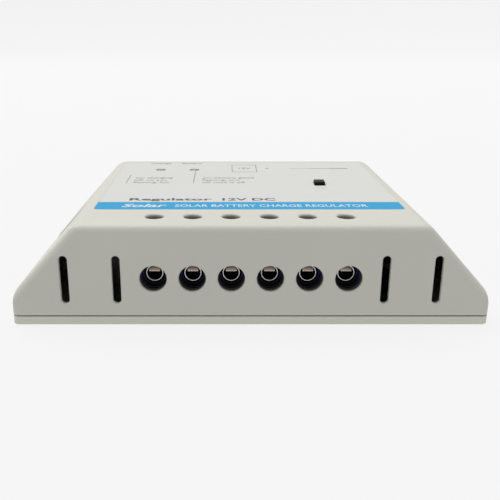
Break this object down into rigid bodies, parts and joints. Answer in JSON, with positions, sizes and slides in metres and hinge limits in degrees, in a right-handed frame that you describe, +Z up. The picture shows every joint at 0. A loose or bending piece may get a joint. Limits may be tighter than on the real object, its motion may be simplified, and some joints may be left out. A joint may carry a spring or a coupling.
{
  "type": "solar charge controller",
  "caption": "Small solar charge controller in a sloped plastic case, with a row of screw terminals on its front, status lights and a label on top.",
  "frame": {"origin": "centre of the case's bounding box in plan, on its flat underside", "axes": "+X along the row of terminals, to the right as seen from the terminal side; -Y out of the terminal face; +Z up from the underside to the label"},
  "size_m": [0.0928, 0.065, 0.0209],
  "materials": {
    "cover_plastic": "warm light grey moulded ABS, fine satin texture",
    "base_plastic": "warm light grey moulded ABS, satin",
    "label_film": "printed polycarbonate film, light grey with a blue band, satin",
    "board_laminate": "green solder mask on glass-epoxy laminate",
    "block_blue": "blue moulded polyamide terminal housing",
    "nickel_plate": "nickel-plated brass, softly polished",
    "spring_leaf": "tinned spring bronze strip",
    "plated_screw": "zinc-plated steel",
    "case_screw_steel": "dark zinc-plated steel",
    "led_lens": "diffused epoxy lens, unlit grey",
    "spacer_nylon": "natural nylon",
    "sensor_black": "black epoxy, satin",
    "chip_black": "black moulding compound with tinned legs",
    "capacitor_can": "sleeved aluminium can",
    "ceramic_tan": "fired ceramic"
  },
  "bodies": {
    "case": {"top_cover": "cover_plastic", "base_plate": "base_plastic", "label_overlay": "label_film", "circuit_board": "board_laminate", "terminal_block_solar": "block_blue", "terminal_block_battery": "block_blue", "terminal_block_load": "block_blue", "terminal_tube_1": "nickel_plate", "terminal_tube_2": "nickel_plate", "terminal_tube_3": "nickel_plate", "terminal_tube_4": "nickel_plate", "terminal_tube_5": "nickel_plate", "terminal_tube_6": "nickel_plate", "charge_led": "led_lens", "battery_led": "led_lens", "charge_led_spacer": "spacer_nylon", "battery_led_spacer": "spacer_nylon", "temperature_sensor": "sensor_black", "charge_mosfet": "chip_black", "reverse_mosfet": "chip_black", "load_mosfet": "chip_black", "schottky_diode": "chip_black", "transient_suppressor": "chip_black", "microcontroller": "chip_black", "regulator_chip": "chip_black", "input_capacitor": "capacitor_can", "output_capacitor": "capacitor_can", "current_shunt": "chip_black", "chip_resistor_1": "chip_black", "chip_resistor_2": "chip_black", "chip_resistor_3": "chip_black", "chip_resistor_4": "chip_black", "chip_capacitor_1": "ceramic_tan", "chip_capacitor_2": "ceramic_tan", "chip_capacitor_3": "ceramic_tan", "chip_capacitor_4": "ceramic_tan", "case_screw_1": "case_screw_steel", "case_screw_2": "case_screw_steel", "case_screw_3": "case_screw_steel", "case_screw_4": "case_screw_steel", "board_screw_1": "plated_screw", "board_screw_2": "plated_screw", "board_screw_3": "plated_screw", "board_screw_4": "plated_screw"},
    "guard_1": {"wire_guard_1": "spring_leaf"},
    "screw_1": {"terminal_screw_1": "plated_screw"},
    "guard_2": {"wire_guard_2": "spring_leaf"},
    "screw_2": {"terminal_screw_2": "plated_screw"},
    "guard_3": {"wire_guard_3": "spring_leaf"},
    "screw_3": {"terminal_screw_3": "plated_screw"},
    "guard_4": {"wire_guard_4": "spring_leaf"},
    "screw_4": {"terminal_screw_4": "plated_screw"},
    "guard_5": {"wire_guard_5": "spring_leaf"},
    "screw_5": {"terminal_screw_5": "plated_screw"},
    "guard_6": {"wire_guard_6": "spring_leaf"},
    "screw_6": {"terminal_screw_6": "plated_screw"}
  },
  "joints": [
    {"name": "guard_1_slide", "type": "slide", "parent": "case", "child": "guard_1", "axis": [0, 0, -1], "range_m": [0, 0.00125]},
    {"name": "screw_1_turn", "type": "hinge", "parent": "guard_1", "child": "screw_1", "pos_m": [-0.01875, -0.0259, 0.014], "axis": [0, 0, -1], "range_deg": [0, 900]},
    {"name": "guard_2_slide", "type": "slide", "parent": "case", "child": "guard_2", "axis": [0, 0, -1], "range_m": [0, 0.00125]},
    {"name": "screw_2_turn", "type": "hinge", "parent": "guard_2", "child": "screw_2", "pos_m": [-0.01125, -0.0259, 0.014], "axis": [0, 0, -1], "range_deg": [0, 900]},
    {"name": "guard_3_slide", "type": "slide", "parent": "case", "child": "guard_3", "axis": [0, 0, -1], "range_m": [0, 0.00125]},
    {"name": "screw_3_turn", "type": "hinge", "parent": "guard_3", "child": "screw_3", "pos_m": [-0.00375, -0.0259, 0.014], "axis": [0, 0, -1], "range_deg": [0, 900]},
    {"name": "guard_4_slide", "type": "slide", "parent": "case", "child": "guard_4", "axis": [0, 0, -1], "range_m": [0, 0.00125]},
    {"name": "screw_4_turn", "type": "hinge", "parent": "guard_4", "child": "screw_4", "pos_m": [0.00375, -0.0259, 0.014], "axis": [0, 0, -1], "range_deg": [0, 900]},
    {"name": "guard_5_slide", "type": "slide", "parent": "case", "child": "guard_5", "axis": [0, 0, -1], "range_m": [0, 0.00125]},
    {"name": "screw_5_turn", "type": "hinge", "parent": "guard_5", "child": "screw_5", "pos_m": [0.01125, -0.0259, 0.014], "axis": [0, 0, -1], "range_deg": [0, 900]},
    {"name": "guard_6_slide", "type": "slide", "parent": "case", "child": "guard_6", "axis": [0, 0, -1], "range_m": [0, 0.00125]},
    {"name": "screw_6_turn", "type": "hinge", "parent": "guard_6", "child": "screw_6", "pos_m": [0.01875, -0.0259, 0.014], "axis": [0, 0, -1], "range_deg": [0, 900]}
  ],
  "couplings": [
    {"joint": "screw_1_turn", "follows": "guard_1_slide", "rad_per_m": 12566},
    {"joint": "screw_2_turn", "follows": "guard_2_slide", "rad_per_m": 12566},
    {"joint": "screw_3_turn", "follows": "guard_3_slide", "rad_per_m": 12566},
    {"joint": "screw_4_turn", "follows": "guard_4_slide", "rad_per_m": 12566},
    {"joint": "screw_5_turn", "follows": "guard_5_slide", "rad_per_m": 12566},
    {"joint": "screw_6_turn", "follows": "guard_6_slide", "rad_per_m": 12566}
  ]
}
